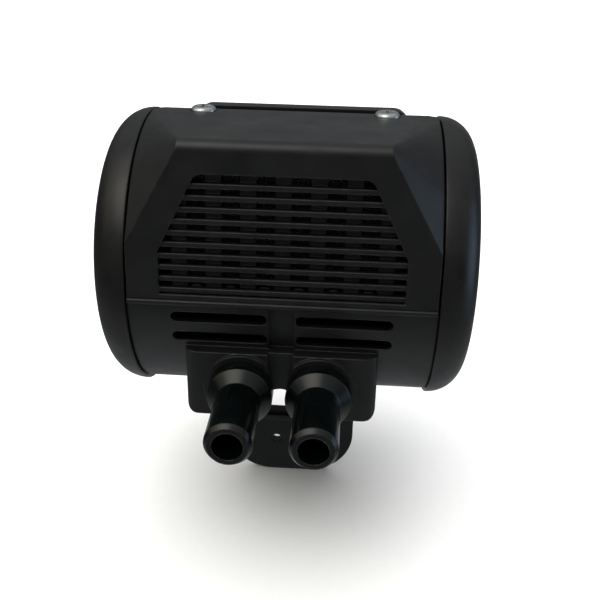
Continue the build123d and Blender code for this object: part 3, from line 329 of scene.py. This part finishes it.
def body_nylon():
    # glass-filled nylon from a lightly spark-eroded tool: satin black with a greyish sheen at a slant
    colours = ("#0D0E0E", "#131414", "#2B2D2E")
    return moulded_plastic("moulded_satin_nylon", colours, (0.34, 0.46), 1.53, 0.30 * MM, 0.012 * MM, 9 * MM)


def cap_polypropylene():
    # polypropylene, moulded and much handled: deeper black, broad soft highlights with dull patches
    colours = ("#0D0D0D", "#131312", "#292928")
    name = "moulded_handled_polypropylene"
    return moulded_plastic(name, colours, (0.27, 0.42), 1.49, 0.40 * MM, 0.014 * MM, 6 * MM)


def nipple_nylon():
    # unfilled nylon from a polished tool: the glossiest black, thin bright lines on every rim
    colours = ("#020404", "#050808", "#33342F")
    name = "moulded_polished_nylon"
    return moulded_plastic(name, colours, (0.16, 0.26), 1.53, 0.80 * MM, 0.006 * MM, 5 * MM)


def lug_nylon():
    # glass-filled nylon strip, moulded matt: swallows light, with pale rubbed corners where it hangs
    colours = ("#0D0E0F", "#131415", "#2C2E30")
    return moulded_plastic("moulded_matt_nylon", colours, (0.42, 0.55), 1.50, 0.25 * MM, 0.014 * MM, 8 * MM)


def turned_metal(name, dark, pale, roughness, axis, centre, pitch):
    """Metal turned on a lathe, its tool rings a noise along axial place plus distance from the axis."""
    material, tree, place = new_material(name)
    to_axis = add(tree, "Mapping", "Vector", {"Vector": place, "Location": [-c for c in centre]})
    across = [0.0 if k == axis else 1.0 for k in range(3)]
    along = [1.0 - c for c in across]
    flat = add(tree, "VectorMath", "Vector", {0: to_axis, 1: across}, operation="MULTIPLY")
    distance = add(tree, "VectorMath", "Value", {0: flat}, operation="LENGTH")
    travel = add(tree, "VectorMath", "Value", {0: to_axis, 1: along}, operation="DOT_PRODUCT")
    ring = add(tree, "Math", "Value", {0: distance, 1: travel}, operation="ADD")
    tool = add(tree, "TexNoise", "Fac", {"W": ring, "Scale": 1 / pitch, "Detail": 2.0}, noise_dimensions="1D")
    tarnish = add(tree, "TexNoise", "Fac", {"Vector": place, "Scale": 1 / (2.5 * MM), "Detail": 4.0})
    soft, _ = worn_edges(tree, 0.12 * MM)
    tones = {SHARE: tarnish, FIRST: srgb(dark), SECOND: srgb(pale)}
    colour = add(tree, "Mix", MIXED, tones, data_type="RGBA")
    gloss_range = {"Value": tarnish, "To Min": roughness[0], "To Max": roughness[1]} | NOISE_BAND
    gloss = add(tree, "MapRange", "Result", gloss_range)
    relief = add(tree, "Bump", "Normal", {"Height": tool, "Distance": 0.006 * MM, "Normal": soft})
    surface(tree, {"Base Color": colour, "Metallic": 1.0, "Roughness": gloss, "Normal": relief})
    return material


def plated_steel():
    # cold-headed steel with bright zinc plate: bluish-white, softly mottled, mirror-like on its rims
    material, tree, place = new_material("zinc_plated_steel")
    spangle = add(tree, "TexNoise", "Fac", {"Vector": place, "Scale": 1 / (0.5 * MM), "Detail": 3.0})
    soft, edge_mask = worn_edges(tree, 0.15 * MM)
    tones = {SHARE: spangle, FIRST: srgb("#BFC2C4"), SECOND: srgb("#E6E9EA")}
    base = add(tree, "Mix", MIXED, tones, data_type="RGBA")
    edges = {SHARE: edge_mask, FIRST: base, SECOND: srgb("#F2F4F4")}
    colour = add(tree, "Mix", MIXED, edges, data_type="RGBA")
    gloss = add(tree, "MapRange", "Result", {"Value": spangle, "To Min": 0.18, "To Max": 0.34} | NOISE_BAND)
    relief = add(tree, "Bump", "Normal", {"Height": spangle, "Distance": 0.008 * MM, "Normal": soft})
    surface(tree, {"Base Color": colour, "Metallic": 1.0, "Roughness": gloss, "Normal": relief})
    return material


def drawn_stainless():
    # cold-rolled and drawn stainless steel: cool grey with fine lines along the drawing direction
    material, tree, place = new_material("drawn_stainless_steel")
    stretched = add(tree, "Mapping", "Vector", {"Vector": place, "Scale": (0.06, 1.0, 1.0)})
    lines = add(tree, "TexNoise", "Fac", {"Vector": stretched, "Scale": 1 / (0.12 * MM)})
    soft, _ = worn_edges(tree, 0.12 * MM)
    tones = {SHARE: lines, FIRST: srgb("#8E9193"), SECOND: srgb("#C2C5C6")}
    colour = add(tree, "Mix", MIXED, tones, data_type="RGBA")
    gloss = add(tree, "MapRange", "Result", {"Value": lines, "To Min": 0.24, "To Max": 0.38} | NOISE_BAND)
    relief = add(tree, "Bump", "Normal", {"Height": lines, "Distance": 0.004 * MM, "Normal": soft})
    surface(tree, {"Base Color": colour, "Metallic": 1.0, "Roughness": gloss, "Normal": relief})
    return material


def moulded_rubber(name, dark, bloom, roughness):
    """Compression-moulded rubber: matt, with a pale waxy bloom in cloudy patches."""
    material, tree, place = new_material(name)
    cloud_grain = {"Vector": place, "Scale": 1 / (4 * MM), "Detail": 5.0, "Roughness": 0.6}
    cloud = add(tree, "TexNoise", "Fac", cloud_grain)
    skin = add(tree, "TexNoise", "Fac", {"Vector": place, "Scale": 1 / (0.22 * MM)})
    soft, _ = worn_edges(tree, 0.2 * MM)
    bloomed = add(tree, "MapRange", "Result", {"Value": cloud, "From Min": 0.45, "From Max": 0.75})
    tones = {SHARE: bloomed, FIRST: srgb(dark), SECOND: srgb(bloom)}
    colour = add(tree, "Mix", MIXED, tones, data_type="RGBA")
    gloss_range = {"Value": cloud, "To Min": roughness[0], "To Max": roughness[1]} | NOISE_BAND
    gloss = add(tree, "MapRange", "Result", gloss_range)
    relief = add(tree, "Bump", "Normal", {"Height": skin, "Distance": 0.010 * MM, "Normal": soft})
    surface(tree, {"Base Color": colour, "Roughness": gloss, "IOR": 1.52, "Normal": relief})
    return material


def machined_acetal():
    # natural acetal, machined: milky ivory, light sinks a little way in, faint cutter lines
    material, tree, place = new_material("machined_acetal")
    stretched = add(tree, "Mapping", "Vector", {"Vector": place, "Scale": (1.0, 0.08, 1.0)})
    cutter = add(tree, "TexNoise", "Fac", {"Vector": stretched, "Scale": 1 / (0.25 * MM)})
    soft, _ = worn_edges(tree, 0.15 * MM)
    tones = {SHARE: cutter, FIRST: srgb("#D8D2C0"), SECOND: srgb("#E9E5D8")}
    colour = add(tree, "Mix", MIXED, tones, data_type="RGBA")
    gloss = add(tree, "MapRange", "Result", {"Value": cutter, "To Min": 0.30, "To Max": 0.42} | NOISE_BAND)
    relief = add(tree, "Bump", "Normal", {"Height": cutter, "Distance": 0.006 * MM, "Normal": soft})
    milky = {"Subsurface Weight": 0.15, "Subsurface Radius": (0.8 * MM, 0.7 * MM, 0.5 * MM)}
    surface(tree, {"Base Color": colour, "Roughness": gloss, "IOR": 1.48, "Normal": relief} | milky)
    return material


def lapped_graphite_nylon():
    # graphite-filled nylon, lapped on its sliding face: dark slate with a soft metallic glint
    material, tree, place = new_material("lapped_graphite_nylon")
    flakes = add(tree, "TexVoronoi", "Color", {"Vector": place, "Scale": 1 / (0.25 * MM)})
    share = add(tree, "RGBToBW", "Val", {"Color": flakes})
    soft, _ = worn_edges(tree, 0.15 * MM)
    tones = {SHARE: share, FIRST: srgb("#1F2022"), SECOND: srgb("#3A3C40")}
    colour = add(tree, "Mix", MIXED, tones, data_type="RGBA")
    gloss = add(tree, "MapRange", "Result", {"Value": share, "To Min": 0.28, "To Max": 0.5})
    surface(tree, {"Base Color": colour, "Roughness": gloss, "IOR": 1.6, "Normal": soft})
    return material


def open_cell_foam():
    # reticulated polyurethane foam, cut from a block: charcoal struts, with the cells between them painted
    # near-black as shade in the open pores
    material, tree, place = new_material("cut_polyurethane_foam")
    cell_scale = {"Vector": place, "Scale": 1 / (0.6 * CELL)}
    to_strut = add(tree, "TexVoronoi", "Distance", cell_scale, feature="DISTANCE_TO_EDGE")
    strut_range = {"Value": to_strut, "From Min": 0.02, "From Max": 0.22, "To Min": 1.0, "To Max": 0.0}
    strut = add(tree, "MapRange", "Result", strut_range)
    dust = add(tree, "TexNoise", "Fac", {"Vector": place, "Scale": 1 / (5 * MM), "Detail": 3.0})
    dusty = {SHARE: dust, FIRST: srgb("#26272A"), SECOND: srgb("#3A3A38")}
    struts = add(tree, "Mix", MIXED, dusty, data_type="RGBA")
    # the cell middles get #060606: painted shade in the open pores, not a colour of the foam
    tones = {SHARE: strut, FIRST: srgb("#060606"), SECOND: struts}
    colour = add(tree, "Mix", MIXED, tones, data_type="RGBA")
    relief = add(tree, "Bump", "Normal", {"Height": strut, "Distance": 0.25 * MM})
    surface(tree, {"Base Color": colour, "Roughness": 0.85, "IOR": 1.5, "Normal": relief})
    return material


def painted_board():
    # matt white painted board: even, with a faint roller texture
    material, tree, place = new_material("painted_board")
    roller = add(tree, "TexNoise", "Fac", {"Vector": place, "Scale": 1 / (2 * MM)})
    tones = {SHARE: roller, FIRST: srgb("#F7F7F6"), SECOND: srgb("#FBFBFA")}
    surface(tree, {"Base Color": add(tree, "Mix", MIXED, tones, data_type="RGBA"), "Roughness": 0.9})
    return material


# ---------------------------------------------------------------- finishes on the CAD nodes

rate_low, rate_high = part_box("rate_screw")
rate_axis = (rate_low + rate_high) / 2
rod_low, rod_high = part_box("spindle_rod")
rod_axis = (rod_low + rod_high) / 2

finishes = {
    "body_plastic": body_nylon(),
    "cap_plastic": cap_polypropylene(),
    "nipple_plastic": nipple_nylon(),
    "lug_plastic": lug_nylon(),
    "zinc_steel": plated_steel(),
    "filter_foam": open_cell_foam(),
    "diaphragm_rubber": moulded_rubber("moulded_diaphragm_rubber", "#141415", "#2A2A29", (0.5, 0.68)),
    "seal_rubber": moulded_rubber("moulded_seal_rubber", "#0F0F10", "#1E1E1E", (0.38, 0.52)),
    "stainless": drawn_stainless(),
    # rolled aluminium discs, turned on one face: pale grey with fine rings
    "plate_aluminium": turned_metal(
        "turned_aluminium", "#A8ABAD", "#CDD0D2", (0.28, 0.4), 0, rod_axis, 0.22 * MM
    ),
    "valve_acetal": machined_acetal(),
    "slide_graphite": lapped_graphite_nylon(),
    # free-cutting brass from bar, a little tarnished: warm yellow with fine tool rings
    "brass": turned_metal("turned_brass", "#8F7236", "#C9A558", (0.24, 0.4), 2, rate_axis, 0.22 * MM),
}
brass_on_rod = turned_metal("turned_brass_bush", "#8F7236", "#C9A558", (0.24, 0.4), 0, rod_axis, 0.22 * MM)

for subpart in frame["record"]["subparts"]:
    node = frame["nodes"][subpart["node"]]
    finish = finishes[subpart["material_slot"]]
    if subpart["node"].endswith("rod_bush"):
        finish = brass_on_rod
    node.data.materials.clear()
    node.data.materials.append(finish)

# ---------------------------------------------------------------- soft pieces

foam = foam_slab(finishes["filter_foam"])
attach(foam, "housing")
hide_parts("foam_filter")

for side, hand in ((-1, "left"), (1, "right")):
    disc = rolling_diaphragm(
        f"{hand}_rolling_diaphragm", f"{hand}_diaphragm", side, finishes["diaphragm_rubber"]
    )
    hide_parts(f"{hand}_diaphragm")

# ---------------------------------------------------------------- floor, light and camera

FLOOR_HALF = 6.0
FLOOR_GAP = 0.2 * MM

floor_z = cad_box[0][2] - FLOOR_GAP
floor_points = np.array([[-1, -1], [1, -1], [1, 1], [-1, 1]]) * FLOOR_HALF
floor_points = np.column_stack([floor_points, np.full(4, floor_z)])
floor = mesh_piece("floor", floor_points, [[0, 1, 2, 3]], painted_board())
# the board is left out of mirror reflections, so that the gloss shows the room and not the board
floor.visible_glossy = False


# a wide overcast ceiling: even light on the board, no hard shadow, and no hot spot in the gloss
ceiling = bpy.data.lights.new("ceiling", "SUN")
ceiling.energy = 3.4
ceiling.angle = 1.7
ceiling_light = bpy.data.objects.new("ceiling", ceiling)
ceiling_light.rotation_mode = "QUATERNION"
ceiling_light.rotation_quaternion = Vector((0.05, -0.10, -1.0)).to_track_quat("-Z", "Y")
ceiling_light.visible_glossy = False
bpy.context.scene.collection.objects.link(ceiling_light)

# the room mirrored in the gloss: pale ceiling, dark walls, pale bench below
world = bpy.data.worlds.new("room")
bpy.context.scene.world = world
world.use_nodes = True
room = world.node_tree
room.nodes.clear()
direction = add(room, "TexCoord", "Generated", {})
upward = add(room, "SeparateXYZ", "Z", {"Vector": direction})
ceiling_range = {"Value": upward, "From Min": 0.05, "From Max": 0.95, "To Min": 0.06, "To Max": 0.52}
bench_range = {"Value": upward, "From Min": -0.30, "From Max": -0.90, "To Min": 0.0, "To Max": 0.32}
overhead = add(room, "MapRange", "Result", ceiling_range)
bench = add(room, "MapRange", "Result", bench_range)
strength = add(room, "Math", "Value", {0: overhead, 1: bench}, operation="ADD")
shell = add(room, "Background", "Background", {"Color": srgb("#F4F7FA"), "Strength": strength})

# soft round glows: direction, degrees from the middle to nothing, strength in the middle, colour
glows = [
    ((-0.35, -0.40, 0.85), 32, 1.8, "#FFFBEF"),     # skylight
    ((-0.84, -0.08, 0.54), 26, 0.55, "#FFF0CC"),    # lamp to the left
    ((0.96, 0.10, -0.02), 25, 1.2, "#BFDCFF"),      # window to the right
    ((0.0, 0.93, -0.36), 38, 0.35, "#F4F7FA"),      # pale wall behind
]
for towards, spread, power, tint in glows:
    aim = tuple(Vector(towards).normalized())
    nearness = add(room, "VectorMath", "Value", {0: direction, 1: aim}, operation="DOT_PRODUCT")
    edge = float(np.cos(np.radians(spread)))
    light_range = {"Value": nearness, "From Min": edge, "From Max": 1.0, "To Min": 0.0, "To Max": power}
    light = add(room, "MapRange", "Result", light_range)
    glow = add(room, "Background", "Background", {"Color": srgb(tint), "Strength": light})
    shell = add(room, "AddShader", "Shader", {0: shell, 1: glow})
room_end = room.nodes.new("ShaderNodeOutputWorld")
room.links.new(shell, room_end.inputs["Surface"])

CAMERA_PLACE = (0.01443, -0.24592, 0.08617)
CAMERA_RIGHT = (0.99761505, 0.06666751, 0.0178788)
CAMERA_UP = (-0.04513901, 0.43418353, 0.8996928)

camera_data = bpy.data.cameras.new("camera")
camera_data.lens = 50
camera_data.sensor_width = 36
camera_data.clip_start = 0.01
camera_data.clip_end = 30
camera = bpy.data.objects.new("camera", camera_data)
right, up = Vector(CAMERA_RIGHT).normalized(), Vector(CAMERA_UP).normalized()
turn = Matrix((right, up, right.cross(up))).transposed()
camera.matrix_world = Matrix.Translation(CAMERA_PLACE) @ turn.to_4x4()
bpy.context.scene.collection.objects.link(camera)
bpy.context.scene.camera = camera
bpy.context.scene.view_settings.view_transform = "Standard"
